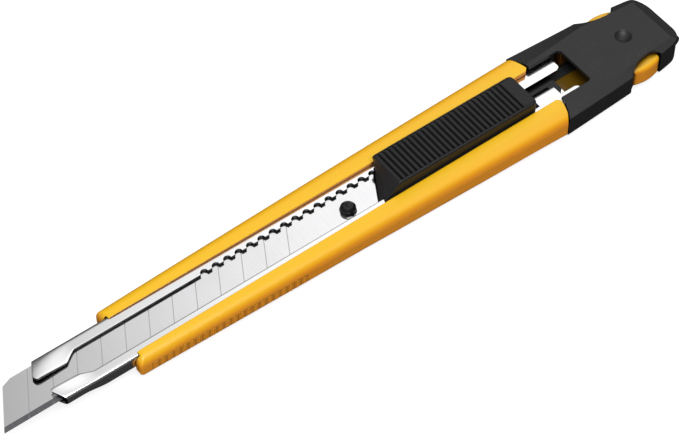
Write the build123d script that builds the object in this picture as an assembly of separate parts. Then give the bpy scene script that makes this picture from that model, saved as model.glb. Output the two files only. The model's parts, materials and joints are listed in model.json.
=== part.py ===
from build123d import *
import math
import os

# A slim snap-off utility knife: a steel blade channel in a yellow handle, a thumb slider
# with an automatic lock, and a pull-off tail cap that two squeeze buttons let go.
#
# Stations run along the knife, +X towards the tail, with the blade's point just in front of 0.
# Widths are measured from the middle plane, +Y towards the blade's spine. Heights are measured from
# the blade's top face. to_part_frame() moves it all so that the origin is the box's bottom centre.

# ---- Overall ----
blade_point = -0.4
tail_tip = 153.4
underside = -5.1
body_bottom = -3.85
slide_gap = 0.05
join = 0.1
far = 9.0

# ---- Blade ----
blade_length = 85.0
blade_width = 9.0
blade_thick = 0.38
blade_offset = 0.15
blade_lean = 30.0
grind_width = 1.0
nose_cut_depth = 0.75
nose_cut_length = 2.0
snap_pitch = 5.0
snap_lines = 12
snap_line_width = 0.14
snap_line_depth = 0.09
stud_x = 74.9
stud_y = -0.95
stud_radius = 1.45
stud_height = 1.45
stud_chamfer = 0.5

# ---- Steel channel ----
sheet = 0.5
channel_half = 5.25
channel_mouth = 9.7
channel_end = 127.6
channel_bend = 0.7
flange_under = 0.12
flange_top = flange_under + sheet
channel_deep = -2.3
channel_shallow = -1.5
ramp_from = 13.5
ramp_to = 20.0
jaw_corner_x = 11.5
jaw_corner_y = 2.2
jaw_end = 15.8
jaw_slope = 2.4
upper_jaw_edge = 1.0
lower_jaw_edge = -2.15
upper_edge = 2.75
lower_edge = -3.15
upper_tail_edge = 1.9
lower_stop_edge = -1.05
stop_from = 118.2
stop_to = 123.3
floor_end = 125.8
floor_cut_top = -1.2
strip_end_radius = 0.9
notch_pitch = 2.5
notch_radius = 0.8
first_notch = 45.8
notch_count = 28

# ---- Handle ----
handle_front = 25.6
handle_front_half = 6.95
handle_front_spine_half = 7.5
handle_mid_x = 74.0
handle_mid_half = 8.13
handle_mid_spine_half = 8.75
handle_rear_half = 9.6
handle_sides = (
    (1, handle_front_spine_half, handle_mid_spine_half),
    (-1, handle_front_half, handle_mid_half),
)
rail_inner = 4.45
rail_top_front = 0.9
rail_top_rear = 1.8
rail_round = 1.9
keel_round = 1.5
front_round = 0.5
joint_inner_x = 121.8
joint_outer_x = 119.4
joint_mid_x = 121.1
joint_mid_y = 7.1
joint_overlap = 3.0
grip_from = 28.6
grip_pitch = 1.5
grip_ribs = 22
grip_radius = 0.32
grip_proud = 0.13
grip_low = -2.6
grip_high = -0.7
floor_setback = 3.0
rail_corner = 0.8
tongue_end = 134.0
tongue_half = 7.4
cheek_inner = 6.2
cheek_top = 1.0
tongue_floor = -2.7
tongue_edge = 2.0
catch_from = 129.0
catch_to = 132.0
catch_low = -1.8
catch_high = 0.4

# ---- Tail cap ----
cap_top = 2.05
cap_end = 151.2
cap_end_half = 3.2
cap_front_half = 9.6
cap_shoulder_x = 136.5
cap_shoulder_half = 8.6
cap_hollow_x = 141.8
cap_hollow_half = 6.1
cap_hollow_sag = 0.6
cap_tail_x = 144.8
cap_tail_half = 7.45
cap_flank_x = 147.8
cap_flank_half = 7.0
cap_corner_sag = 0.9
cap_keel_round = 0.9
cap_wall_top = 1.3
cap_floor = -2.9
cap_cavity_half = 7.55
cap_cavity_end = 149.4
cap_rear_cavity_half = 5.75
joint_gap = 0.32
tail_slope_length = 2.6
tail_slope_drop = 1.3
bevel_edge = 1.2
bevel_overrun = 2.0
bevel_top_front = 5.4
bevel_top_rear = 6.7
bevel_top_tail = 5.2
window_half = 4.7
window_end = 129.4
window_corner = 0.7
lining_inner = 5.42
lining_outer = 6.03
lining_end = 129.0
lining_low = -2.2
dimple_x = 141.4
dimple_radius = 1.7
dimple_depth = 0.8
dimple_wall = 0.8

# ---- Thumb slider and blade carrier ----
pad_front = 84.4
pad_rear = 116.7
pad_half = 4.05
pad_corner = 0.7
pad_edge_round = 0.35
pad_under = 1.0
pad_top = 3.9
pad_ribs = 27
pad_rib_pitch = 1.09
pad_groove = 0.5
pad_groove_depth = 0.38
ramp_foot = 82.2
ramp_front = 79.0
neck_low = -3.0
neck_high = 2.55
neck_rear = 103.0
carrier_front = 71.6
carrier_shoulder = 104.0
carrier_end = 125.0
carrier_half = 4.5
carrier_tail_half = 1.95
carrier_top = -0.43
carrier_bottom = -1.72
peg_stations = (86.3, 102.0)
peg_radius = 0.8
peg_y = -1.0
carrier_corner = 1.5
carrier_tail_corner = 0.8
carrier_groove = 0.7
carrier_groove_depth = 0.4
carrier_groove_inset = 2.0
blade_rear_gap = 1.0

# ---- Lock spring ----
lock_eye_x = 89.0
lock_eye_y = 1.3
lock_post_radius = 0.45
lock_eye_radius = 0.95
lock_tooth_x = first_notch + 20 * notch_pitch
lock_tooth_reach = 3.35
lock_tooth_root = 0.75
lock_tooth_tip = 0.35
lock_leaf = 0.4
lock_leaf_end = 100.2
lock_low = 0.12
lock_high = 0.92
lock_pocket_front = 1.6
lock_pocket_rear = 0.6
lock_pocket_low = -0.4

# ---- Cap latch ----
yoke_from = 145.5
knuckle_x = 146.7
knuckle_y = 4.7
knuckle_radius = 0.95
arm_inner = 4.1
arm_outer = 5.55
arm_front = 129.3
arm_low = -2.1
arm_high = 1.1
arm_swing = 0.8
button_from = 137.7
button_to = 144.2
button_half = 8.2
button_low = -3.45
button_high = 0.9
button_sag = 0.65
button_round = 0.9
button_gap = 0.55
hook_rear = 131.6
hook_reach = 6.9
hook_lead = 0.9
hook_gap = 0.2

# ---- Pocket clip ----
clip_half = 3.5
clip_sheet = 0.6
clip_bend = 1.45
clip_bend_x = tail_tip - clip_bend
clip_top = underside + 2 * clip_bend
clip_leg_front = 137.5
clip_peg_x = 141.0
clip_peg_radius = 0.9
clip_touch_x = 115.0
clip_lip_x = 110.5
clip_slope = 8.0


def block(x_from, x_to, y_from, y_to, z_from, z_to):
    """A box between two corners."""
    middle = Pos((x_from + x_to) / 2, (y_from + y_to) / 2, (z_from + z_to) / 2)
    return middle * Box(abs(x_to - x_from), abs(y_to - y_from), abs(z_to - z_from))


def plate(outline, z_from, z_to):
    """A closed plan outline, raised from one height to another."""
    return extrude(Plane.XY.offset(z_from) * make_face(outline), z_to - z_from)


def side_plate(outline, half):
    """A closed side outline of (station, height) points, as thick as the width on both sides."""
    return extrude(Plane.XZ * make_face(outline), half, both=True)


def both_sides(half_outline):
    """An open outline on the +Y side and its mirror image, as one closed outline."""
    return half_outline + mirror(half_outline, about=Plane.XZ)


def post(x, y, radius, z_from, z_to):
    """An upright round pin."""
    return Pos(x, y, (z_from + z_to) / 2) * Cylinder(radius, z_to - z_from)


def long_edges(solid, y_least, z_least, z_most):
    """The edges that run along the knife, outside a width and between two heights."""
    chosen = []
    for edge in solid.edges():
        middle = edge.center()
        runs_along = edge.bounding_box().size.X > 0.6 * edge.length
        if runs_along and abs(middle.Y) > y_least and z_least < middle.Z < z_most:
            chosen.append(edge)
    return chosen


def blade():
    """A segmented blade with a ground edge, snap lines and a hole for the carrier's stud."""
    half = blade_width / 2
    section = Polyline(
        (-half, -blade_thick / 2),
        (grind_width - half, 0),
        (half, 0),
        (half, -blade_thick),
        (grind_width - half, -blade_thick),
        close=True,
    )
    bar = extrude(Plane.YZ * make_face(section), blade_length)
    slant = math.tan(math.radians(blade_lean))
    lean = blade_width * slant
    nose_x = lean - nose_cut_depth * slant
    outline = Polyline(
        (0, -half),
        (nose_x, half - nose_cut_depth),
        (nose_x + nose_cut_length, half),
        (blade_length, half),
        (blade_length - lean, -half),
        close=True,
    )
    bar &= plate(outline, -1, 1)
    groove = Box(snap_line_width, 2 * blade_width, 2 * snap_line_depth)
    for line in range(1, snap_lines + 1):
        bar -= Pos(line * snap_pitch + lean / 2, 0, 0) * Rot(0, 0, -blade_lean) * groove
    bar = Pos(blade_point, blade_offset, 0) * bar
    return bar - post(stud_x, stud_y, stud_radius + slide_gap, -1, 1)


def channel_side(inset):
    """The channel's side outline, drawn in by an inset from its outer faces."""
    return Polyline(
        (channel_mouth - 1, flange_top - inset),
        (channel_end + 1, flange_top - inset),
        (channel_end + 1, channel_deep + inset),
        (ramp_to, channel_deep + inset),
        (ramp_from, channel_shallow + inset),
        (channel_mouth - 1, channel_shallow + inset),
        close=True,
    )


def channel_slot():
    """The opening between the two folded flanges, with the jaws, the stop tab and the notches."""
    slot = Polyline(
        (channel_mouth - 1, upper_jaw_edge),
        (jaw_end, upper_jaw_edge),
        (jaw_end + jaw_slope, upper_edge),
        (stop_from, upper_edge),
        (stop_from, upper_tail_edge),
        (channel_end + 1, upper_tail_edge),
        (channel_end + 1, lower_edge),
        (stop_to, lower_edge),
        (stop_to, lower_stop_edge),
        (stop_from, lower_stop_edge),
        (stop_from, lower_edge),
        (jaw_end + jaw_slope, lower_edge),
        (jaw_end, lower_jaw_edge),
        (channel_mouth - 1, lower_jaw_edge),
        close=True,
    )
    slot = plate(slot, 0, 1)
    for notch in range(notch_count):
        slot += post(first_notch + notch * notch_pitch, upper_edge, notch_radius, 0, 1)
    return slot


def blade_channel():
    """The folded steel channel: two flanges that hold the blade down, and a ratchet edge."""
    outside = side_plate(channel_side(0), channel_half)
    outside = fillet(long_edges(outside, channel_half - 0.1, -far, far), channel_bend)
    inside = side_plate(channel_side(sheet), channel_half - sheet)
    inside = fillet(long_edges(inside, channel_half - sheet - 0.1, -far, far), channel_bend - sheet)
    corner = Line((jaw_corner_x, channel_half), (channel_mouth, jaw_corner_y))
    nose = corner + Line((channel_mouth, jaw_corner_y), (channel_mouth, 0))
    tail = Polyline((jaw_corner_x, channel_half), (channel_end, channel_half), (channel_end, 0))
    channel = (outside - inside) & plate(both_sides(nose + tail), -far, far)
    channel -= channel_slot()
    channel -= block(floor_end, channel_end + 1, -channel_half, channel_half, -far, floor_cut_top)
    tips = [e for e in channel.edges().filter_by(Axis.Z) if abs(e.length - sheet) < 0.01]
    strip_ends = [e for e in tips if e.center().X > channel_end - 0.1]
    return fillet(strip_ends, strip_end_radius)


def joint_line(shift):
    """Half of the line where the handle ends and the tail cap begins, moved along the knife."""
    return ThreePointArc(
        (joint_inner_x + shift, rail_inner - 0.5),
        (joint_mid_x + shift, joint_mid_y),
        (joint_outer_x + shift, cap_front_half + 0.5),
    )


def joint_cutter(shift):
    """Everything behind the line where the handle ends."""
    line = joint_line(shift)
    half = line + Polyline(line @ 1, (cap_end + far, cap_front_half + 0.5), (cap_end + far, 0))
    half += Line((joint_inner_x + shift, 0), line @ 0)
    return plate(both_sides(half), -far, far)


def handle_shell():
    """The handle's outside: it widens and rises towards the tail, with rounded rails and keel."""
    spine_side, edge_side = (
        ThreePointArc(
            (handle_front, side * front_half),
            (handle_mid_x, side * mid_half),
            (joint_outer_x + joint_overlap, side * handle_rear_half),
        )
        for side, front_half, mid_half in handle_sides
    )
    ends = Line(spine_side @ 0, edge_side @ 0) + Line(spine_side @ 1, edge_side @ 1)
    shell = plate(spine_side + edge_side + ends, body_bottom, rail_top_rear + 1)
    roof = Polyline(
        (handle_front - 1, rail_top_front),
        (joint_outer_x + joint_overlap + 1, rail_top_rear),
        (joint_outer_x + joint_overlap + 1, far),
        (handle_front - 1, far),
        close=True,
    )
    shell -= side_plate(roof, 20)
    front_uprights = [e for e in shell.edges().filter_by(Axis.Z) if e.center().X < handle_front + 0.1]
    shell = fillet(front_uprights, front_round)
    shell = fillet(long_edges(shell, 6, 0, far), rail_round)
    shell = fillet(long_edges(shell, 6, -far, body_bottom + 0.1), keel_round)
    return shell


def grip_rib_row():
    """Low upright ribs on both sides of the handle's front."""
    ribs = []
    for rib in range(grip_ribs):
        x = grip_from + rib * grip_pitch
        along = (x - handle_front) / (handle_mid_x - handle_front)
        for side, front_half, mid_half in handle_sides:
            half = front_half + along * (mid_half - front_half)
            centre = half + grip_proud - grip_radius
            ribs.append(post(x, side * centre, grip_radius, grip_low, grip_high))
    return ribs


def handle_body():
    """The yellow moulding: a trough with two rails that lip over the channel, and a tongue."""
    handle = handle_shell() - joint_cutter(0)
    handle += grip_rib_row()
    tongue = block(joint_outer_x - joint_overlap, tongue_end, -tongue_half, tongue_half, cap_floor + slide_gap, cheek_top)
    tongue -= block(0, tongue_end + 1, -cheek_inner, cheek_inner, tongue_floor, far)
    tongue -= block(floor_end, tongue_end + 1, tongue_edge, cheek_inner, -far, far)
    handle += tongue & joint_cutter(-joint_overlap)
    trough_half = channel_half + slide_gap
    handle -= block(0, handle_front + floor_setback, -trough_half, trough_half, -far, 0)
    handle -= block(0, tongue_end + 1, -trough_half, trough_half, channel_deep - slide_gap, flange_top + slide_gap)
    handle -= block(0, tongue_end + 1, -rail_inner, rail_inner, 0, far)
    for side in (-1, 1):
        outer = side * (tongue_half + 1)
        handle -= block(catch_from, catch_to, side * (cheek_inner - 1), outer, catch_low, catch_high)
        corner = Polyline(
            (joint_inner_x - rail_corner, side * rail_inner),
            (joint_inner_x + 1, side * rail_inner),
            (joint_inner_x + 1, side * (rail_inner + rail_corner + 1)),
            close=True,
        )
        handle -= plate(corner, flange_top, far)
    return handle


def cap_outline():
    """Half of the cap's plan: straight sides, a hollow for the button and a rounded tail."""
    front = (joint_outer_x - 4, cap_front_half)
    side = Line(front, (cap_shoulder_x, cap_shoulder_half))
    hollow = SagittaArc(side @ 1, (cap_hollow_x, cap_hollow_half), -cap_hollow_sag)
    rise = SagittaArc(hollow @ 1, (cap_tail_x, cap_tail_half), -cap_hollow_sag)
    flank = Line(rise @ 1, (cap_flank_x, cap_flank_half))
    corner = SagittaArc(flank @ 1, (cap_end, cap_end_half), cap_corner_sag)
    ends = Line(corner @ 1, (cap_end, 0)) + Line((joint_outer_x - 4, 0), front)
    return side + hollow + rise + flank + corner + ends


def cap_bevel():
    """The wedge that slopes the cap's top down to its +Y side, wider at the front."""
    faces = []
    for x, top_y, edge_y in (
        (joint_outer_x, bevel_top_front, cap_front_half),
        (cap_shoulder_x, bevel_top_rear, cap_shoulder_half),
        (cap_end + 1, bevel_top_tail, cap_tail_half),
    ):
        slope = (cap_top - bevel_edge) / (edge_y - top_y)
        past = edge_y + bevel_overrun
        corners = Polyline(
            (top_y, cap_top),
            (past, cap_top - slope * (past - top_y)),
            (past, cap_top + 1),
            (top_y, cap_top + 1),
            close=True,
        )
        faces.append(Plane.YZ.offset(x) * make_face(corners))
    return loft(faces, ruled=True)


def cap_cavity():
    """The hollow inside the cap: wide around the handle's tongue, narrower around the latch."""
    hollow = block(0, cap_shoulder_x - 1, -cap_cavity_half, cap_cavity_half, cap_floor, cap_wall_top)
    rear = cap_rear_cavity_half
    hollow += block(cap_shoulder_x - 2, cap_cavity_end, -rear, rear, cap_floor, cap_wall_top)
    hollow -= post(dimple_x, 0, dimple_radius + dimple_wall, cap_wall_top - dimple_depth, cap_wall_top)
    for side in (-1, 1):
        inner, outer = side * arm_inner, side * (cap_shoulder_half + 1)
        front, back = button_from - button_gap, button_to + button_gap
        hollow += block(front, back, inner, outer, button_low - slide_gap, cap_wall_top)
    return hollow


def tail_cap():
    """The black cap: a bevelled box that is open at the front, with a window and a dimple."""
    cap = plate(both_sides(cap_outline()), body_bottom, cap_top)
    bevel = cap_bevel()
    cap = cap - bevel - mirror(bevel, about=Plane.XZ)
    tail_slope = Polyline(
        (cap_end - tail_slope_length, cap_top),
        (cap_end, cap_top - tail_slope_drop),
        (cap_end + 1, cap_top - tail_slope_drop),
        (cap_end + 1, cap_top + 1),
        (cap_end - tail_slope_length, cap_top + 1),
        close=True,
    )
    cap -= side_plate(tail_slope, 20)
    cap &= joint_cutter(joint_gap)
    cap = fillet(long_edges(cap, cap_shoulder_half, -far, body_bottom + 0.1), cap_keel_round)
    cap -= cap_cavity()
    for side in (-1, 1):
        inner, outer = side * lining_inner, side * lining_outer
        lining = block(joint_outer_x, lining_end, inner, outer, lining_low, cap_wall_top + 0.1)
        cap += lining & joint_cutter(joint_gap)
    window = block(0, window_end, -window_half, window_half, 0, far)
    cap -= fillet(window.edges().filter_by(Axis.Z), window_corner)
    ball = (dimple_radius**2 + dimple_depth**2) / (2 * dimple_depth)
    cap -= Pos(dimple_x, 0, cap_top + ball - dimple_depth) * Sphere(ball)
    cap -= block(cap_cavity_end - 1, cap_end + 1, -clip_half - 0.1, clip_half + 0.1, cap_floor, clip_top + 0.05)
    cap += post(clip_peg_x, 0, clip_peg_radius, cap_floor, clip_top)
    return cap


def ramp_space():
    """The space in front of the slider: its ramp rises from the blade's slanted rear end."""
    faces = []
    for side in (-1, 1):
        foot = ramp_foot + side * channel_half * math.tan(math.radians(blade_lean))
        corners = Polyline((0, 0), (foot, 0), (pad_front, pad_top), (pad_front, far), (0, far), close=True)
        faces.append(Plane.XZ.offset(-side * channel_half) * make_face(corners))
    return loft(faces, ruled=True)


def pad_ribs_cut():
    """The row of grooves across the thumb pad."""
    grooves = []
    for rib in range(pad_ribs):
        x = pad_front + (rib + 1) * pad_rib_pitch - pad_groove
        grooves.append(block(x, x + pad_groove, -pad_half, pad_half, pad_top - pad_groove_depth, far))
    return grooves


def thumb_slider():
    """The ribbed thumb pad, with the neck that reaches down between the flanges."""
    pad = block(ramp_front, pad_rear, -pad_half, pad_half, pad_under, pad_top)
    pad = fillet(pad.edges().filter_by(Axis.Z).sort_by(Axis.X)[-2:], pad_corner)
    pad = fillet(long_edges(pad, pad_half - 0.1, pad_top - 0.1, far), pad_edge_round)
    slider = pad + block(ramp_front, neck_rear, neck_low, neck_high, slide_gap, pad_under + 1)
    slider -= ramp_space()
    slider -= pad_ribs_cut()
    slider -= block(lock_eye_x - lock_pocket_front, lock_leaf_end + lock_pocket_rear, lock_pocket_low, neck_high + 1, 0, pad_under)
    slider += post(lock_eye_x, lock_eye_y, lock_post_radius, slide_gap, pad_under + join)
    for x in peg_stations:
        slider += post(x, peg_y, peg_radius, carrier_bottom + join, pad_under)
    return slider


def blade_carrier():
    """The black base that runs in the channel and pulls the blade by its stud."""
    base = block(carrier_front, carrier_shoulder, -carrier_half, carrier_half, carrier_bottom, carrier_top)
    base = fillet(base.edges().filter_by(Axis.Z).sort_by(Axis.X)[:2], carrier_corner)
    tail_half = carrier_tail_half
    tail = block(carrier_shoulder - 1, carrier_end, -tail_half, tail_half, carrier_bottom, carrier_top)
    groove_half = carrier_groove / 2
    groove_from, groove_to = carrier_shoulder + carrier_groove_inset, carrier_end - carrier_groove_inset
    tail -= block(groove_from, groove_to, -groove_half, groove_half, carrier_top - carrier_groove_depth, far)
    base += fillet(tail.edges().filter_by(Axis.Z).sort_by(Axis.X)[-2:], carrier_tail_corner)
    blade_rear = blade_point + blade_length
    base += block(blade_rear + blade_rear_gap, neck_rear, neck_low, neck_high - join, carrier_top - join, 0)
    for x in peg_stations:
        base -= post(x, peg_y, peg_radius + slide_gap, -far, far)
    stud = post(stud_x, stud_y, stud_radius, carrier_top - join, stud_height)
    return base + chamfer(stud.edges().sort_by(Axis.Z)[-1:], stud_chamfer)


def lock_spring():
    """The sprung leaf on its eye, with the tooth that drops into a notch of the channel."""
    leaf_y = lock_eye_y + lock_eye_radius - lock_leaf
    leaf = block(lock_eye_x, lock_leaf_end, leaf_y, leaf_y + lock_leaf, lock_low, lock_high)
    tooth = Polyline(
        (lock_tooth_x - lock_tooth_root, leaf_y + join),
        (lock_tooth_x - lock_tooth_tip, lock_tooth_reach),
        (lock_tooth_x + lock_tooth_tip, lock_tooth_reach),
        (lock_tooth_x + lock_tooth_root, leaf_y + join),
        close=True,
    )
    spring = leaf + post(lock_eye_x, lock_eye_y, lock_eye_radius, lock_low, lock_high)
    spring += plate(tooth, lock_low, lock_high)
    return spring - post(lock_eye_x, lock_eye_y, lock_post_radius + slide_gap, 0, 1)


def latch_yoke():
    """The yellow block fixed in the cap's tail, with a round socket for each latch arm."""
    half = cap_rear_cavity_half - slide_gap
    yoke = block(yoke_from, cap_cavity_end, -half, half, clip_top + slide_gap, cap_wall_top - slide_gap)
    for side in (-1, 1):
        yoke -= post(knuckle_x, side * knuckle_y, knuckle_radius + slide_gap, -far, far)
        inner = side * (arm_inner - arm_swing)
        yoke -= block(yoke_from - 1, knuckle_x, inner, side * (arm_outer + 1), -far, far)
    return yoke


def latch_arm(side):
    """One springy yellow arm: its knuckle, the squeeze button and the hook at its front."""
    arm = block(arm_front, knuckle_x, arm_inner, arm_outer, arm_low, arm_high)
    arm += post(knuckle_x, knuckle_y, knuckle_radius, arm_low, arm_high)
    face = SagittaArc((button_from, button_half - button_sag), (button_to, button_half - button_sag), button_sag)
    root = arm_outer - join
    rest = Polyline(face @ 1, (button_to, root), (button_from, root), face @ 0)
    button = plate(face + rest, button_low, button_high)
    rounded = [e for e in button.edges() if e.center().Y > button_half - button_sag - 0.1]
    arm += fillet(rounded, button_round)
    hook = Polyline(
        (arm_front, arm_outer - join),
        (arm_front + hook_lead, hook_reach),
        (hook_rear, hook_reach),
        (hook_rear, arm_outer - join),
        close=True,
    )
    arm += plate(hook, catch_low + hook_gap, catch_high - hook_gap)
    if side < 0:
        arm = mirror(arm, about=Plane.XZ)
    return arm


def pocket_clip():
    """The bent spring-steel clip: held in the cap, round the tail and forward underneath."""
    centre = underside + clip_bend
    inner_bend = clip_bend - clip_sheet
    low = underside + clip_sheet
    touch = body_bottom - 0.1
    outer = Polyline((clip_leg_front, clip_top), (clip_bend_x, clip_top))
    outer += ThreePointArc((clip_bend_x, clip_top), (clip_bend_x + clip_bend, centre), (clip_bend_x, underside))
    outer += Line((clip_bend_x, underside), (clip_touch_x + clip_slope, underside))
    outer += Line((clip_touch_x + clip_slope, underside), (clip_touch_x, touch - clip_sheet))
    outer += Line((clip_touch_x, touch - clip_sheet), (clip_lip_x, underside))
    outer += Line((clip_lip_x, underside), (clip_lip_x, low))
    outer += Line((clip_lip_x, low), (clip_touch_x, touch))
    outer += Line((clip_touch_x, touch), (clip_touch_x + clip_slope, low))
    outer += Line((clip_touch_x + clip_slope, low), (clip_bend_x, low))
    outer += ThreePointArc((clip_bend_x, low), (clip_bend_x + inner_bend, centre), (clip_bend_x, clip_top - clip_sheet))
    outer += Line((clip_bend_x, clip_top - clip_sheet), (clip_leg_front, clip_top - clip_sheet))
    outer += Line((clip_leg_front, clip_top - clip_sheet), (clip_leg_front, clip_top))
    clip = side_plate(outer, clip_half)
    corners = [e for e in clip.edges().filter_by(Axis.Y) if e.center().X < clip_lip_x + 0.1]
    clip = fillet(corners, clip_sheet / 3)
    return clip - post(clip_peg_x, 0, clip_peg_radius + slide_gap, cap_floor, 0)


def to_part_frame(solid):
    """Puts the origin at the middle of the length and width, at the lowest point."""
    return Pos(-(blade_point + tail_tip) / 2, 0, -underside) * solid


def main():
    os.makedirs("parts", exist_ok=True)
    pieces = {
        "blade": blade(),
        "blade_channel": blade_channel(),
        "handle_body": handle_body(),
        "tail_cap": tail_cap(),
        "thumb_slider": thumb_slider(),
        "blade_carrier": blade_carrier(),
        "lock_spring": lock_spring(),
        "latch_yoke": latch_yoke(),
        "latch_arm_spine_side": latch_arm(1),
        "latch_arm_edge_side": latch_arm(-1),
        "pocket_clip": pocket_clip(),
    }
    for name, solid in pieces.items():
        export_step(to_part_frame(solid), "parts/" + name + ".step")


main()
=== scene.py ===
"""The looks of a slim snap-off utility knife: folded steel channel, ribbed grip, finishes, studio."""

import json
import math

import bmesh
import bpy
import numpy as np
from mathutils import Euler, Matrix, Vector


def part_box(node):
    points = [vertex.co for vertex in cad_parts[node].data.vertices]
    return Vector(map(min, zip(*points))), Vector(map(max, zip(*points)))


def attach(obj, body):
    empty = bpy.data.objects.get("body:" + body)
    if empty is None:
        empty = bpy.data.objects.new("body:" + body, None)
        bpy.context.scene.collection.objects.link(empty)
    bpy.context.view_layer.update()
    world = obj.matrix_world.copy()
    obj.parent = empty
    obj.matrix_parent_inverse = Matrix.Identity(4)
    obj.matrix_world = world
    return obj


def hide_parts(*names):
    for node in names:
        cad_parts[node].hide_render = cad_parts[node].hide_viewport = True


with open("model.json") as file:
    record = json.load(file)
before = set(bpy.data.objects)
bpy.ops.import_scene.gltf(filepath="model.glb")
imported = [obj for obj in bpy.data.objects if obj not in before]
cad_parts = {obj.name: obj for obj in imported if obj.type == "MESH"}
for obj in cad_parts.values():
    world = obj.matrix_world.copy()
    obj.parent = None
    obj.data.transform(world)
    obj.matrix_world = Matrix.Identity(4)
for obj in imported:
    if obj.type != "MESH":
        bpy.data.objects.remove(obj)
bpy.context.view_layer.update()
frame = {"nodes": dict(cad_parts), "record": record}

bl_info = {
    "name": "Snap-off Utility Knife",
    "version": (1, 0, 0),
    "blender": (4, 5, 0),
    "location": "3D View > Sidebar > Knife",
    "description": "Builds the detailed pieces, finishes and studio of a snap-off utility knife",
    "category": "Object",
}

MM = 0.001
NODES = frame["nodes"]

# ---------------------------------------------------------------------------------------------
# Settings
# ---------------------------------------------------------------------------------------------


def length(name, description, default):
    """A size in metres, given in millimetres."""
    return bpy.props.FloatProperty(
        name=name, description=description, default=default * MM, unit="LENGTH", precision=5
    )


def colour(name, description, default):
    """A plain linear colour."""
    return bpy.props.FloatVectorProperty(
        name=name, description=description, default=default, subtype="COLOR", size=3, min=0, max=1
    )


class KnifeChannelSettings(bpy.types.PropertyGroup):
    sheet: length("Sheet", "Thickness of the steel sheet", 0.5)
    bend: length("Bend", "Outer radius of the folded corners", 0.7)
    rim: length("Rim", "How far the rounded rim of the sheet bulges", 0.04)
    shallow: length("Shallow Depth", "Height of the channel at its mouth", 2.12)
    ramp_from: length("Ramp From", "Where the floor starts to drop, from the mouth", 3.8)
    ramp_to: length("Ramp To", "Where the floor has dropped, from the mouth", 10.3)
    nose: length("Nose", "How far the jaws' outer corners are set back from the mouth", 1.8)
    upper_jaw: length("Upper Jaw", "Distance of the spine side jaw's edge from the middle", 1.0)
    lower_jaw: length("Lower Jaw", "Distance of the edge side jaw's edge from the middle", 2.15)
    jaw_run: length("Jaw Length", "Length of the wide jaws", 6.1)
    jaw_slope: length("Jaw Slope", "Length of the slope from a jaw to the narrow flange", 2.4)
    jaw_corner: length("Jaw Corner", "Radius of the jaws' front corners", 0.6)
    jaw_lift: length("Jaw Lift", "How far the jaws' inner corners are flared up at the mouth", 0.42)
    upper_edge: length("Upper Flange Edge", "Distance of the notched edge from the middle", 2.75)
    lower_edge: length("Lower Flange Edge", "Distance of the plain edge from the middle", 3.15)
    strip_edge: length("Strip Edge", "Distance of the upper tail strip's edge from the middle", 1.9)
    stop_edge: length("Stop Edge", "Distance of the stop tab's edge from the middle", 1.05)
    stop_from: length("Stop From", "Where the stop tab starts, back from the channel's tail", 9.4)
    stop_to: length("Stop To", "Where the stop tab ends, back from the channel's tail", 4.3)
    floor_short: length("Floor Short", "How much shorter the floor is than the strips", 1.8)
    strip_round: length("Strip Round", "Corner radius of the tail strips", 0.9)
    first_notch: length("First Notch", "Where the first ratchet notch is, from the mouth", 36.1)
    notch_pitch: length("Notch Pitch", "Distance between ratchet notches", 2.5)
    notch_radius: length("Notch Radius", "Radius of a ratchet notch", 0.8)
    notches: bpy.props.IntProperty(name="Notches", description="How many notches", default=28, min=1)


class KnifeGripSettings(bpy.types.PropertyGroup):
    grooves: bpy.props.IntProperty(name="Grooves", description="How many grooves", default=27, min=2)
    pitch: length("Pitch", "Distance between grooves", 1.09)
    last_groove: length("Last Groove", "Where the last groove is, from the slider's rear", 3.12)
    rib_depth: length("Rib Depth", "Depth of the grooves between the ribs", 0.46)
    rim: length("Rim", "Plain rim along both sides of the ribs", 0.45)
    thickness: length("Thickness", "Thickness of the ribbed skin", 0.9)
    proud: length("Proud", "How far the skin stands over the slider's top and sides", 0.09)
    length: length("Length", "Length of the ribbed skin, from the slider's rear", 32.45)
    corner: length("Corner", "Plan radius of the rear corners", 1.1)
    edge: length("Edge", "Radius of the top edges", 0.45)
    stud_radius: length("Stud Radius", "Radius of the blade stud's cap", 1.6)
    stud_proud: length("Stud Proud", "How far the cap covers the stud's top", 0.07)
    stud_flutes: bpy.props.IntProperty(name="Stud Flutes", description="Flutes round the stud", default=8)


class KnifeColourSettings(bpy.types.PropertyGroup):
    # Lit and shaded copies of one yellow plastic: the first is its tone as lit on faces that look up, the second a
    # darker orange painted as shade on its low and outer sides.
    yellow: colour("Yellow", "Yellow plastic, seen from above", (0.885, 0.505, 0.008))
    yellow_painted_shade: colour("Deep Yellow", "Yellow plastic on its low sides", (0.80, 0.28, 0.006))
    cap_black: colour("Cap Black", "Matt black of the tail cap", (0.017, 0.017, 0.0175))
    grip_black: colour("Grip Black", "Black of the thumb slider", (0.010, 0.010, 0.0115))
    carrier_black: colour("Carrier Black", "Black of the blade's carrier", (0.005, 0.005, 0.006))
    steel: colour("Steel", "Bright rolled steel", (0.97, 0.97, 0.975))
    # Near-black painted shade: on the notched flange's sheared rim and the front end ring it darkens real cut
    # steel, and under that flange by its rim it is shade only.
    steel_cut_and_shade: colour("Cut Steel", "Sheared edges of the steel", (0.012, 0.012, 0.014))
    blade: colour("Blade Steel", "Flat of the blade", (0.83, 0.83, 0.84))
    # The ground bevel's real grind, painted dark as a painted reflection of its tilted facets.
    blade_ground_and_reflection: colour("Ground Edge", "Ground bevel of the blade", (0.13, 0.13, 0.14))
    clip: colour("Clip Steel", "Brushed steel of the clip and the lock spring", (0.42, 0.42, 0.43))
    floor: colour("Floor", "Floor as it lights the knife from below", (0.55, 0.55, 0.55))


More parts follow.
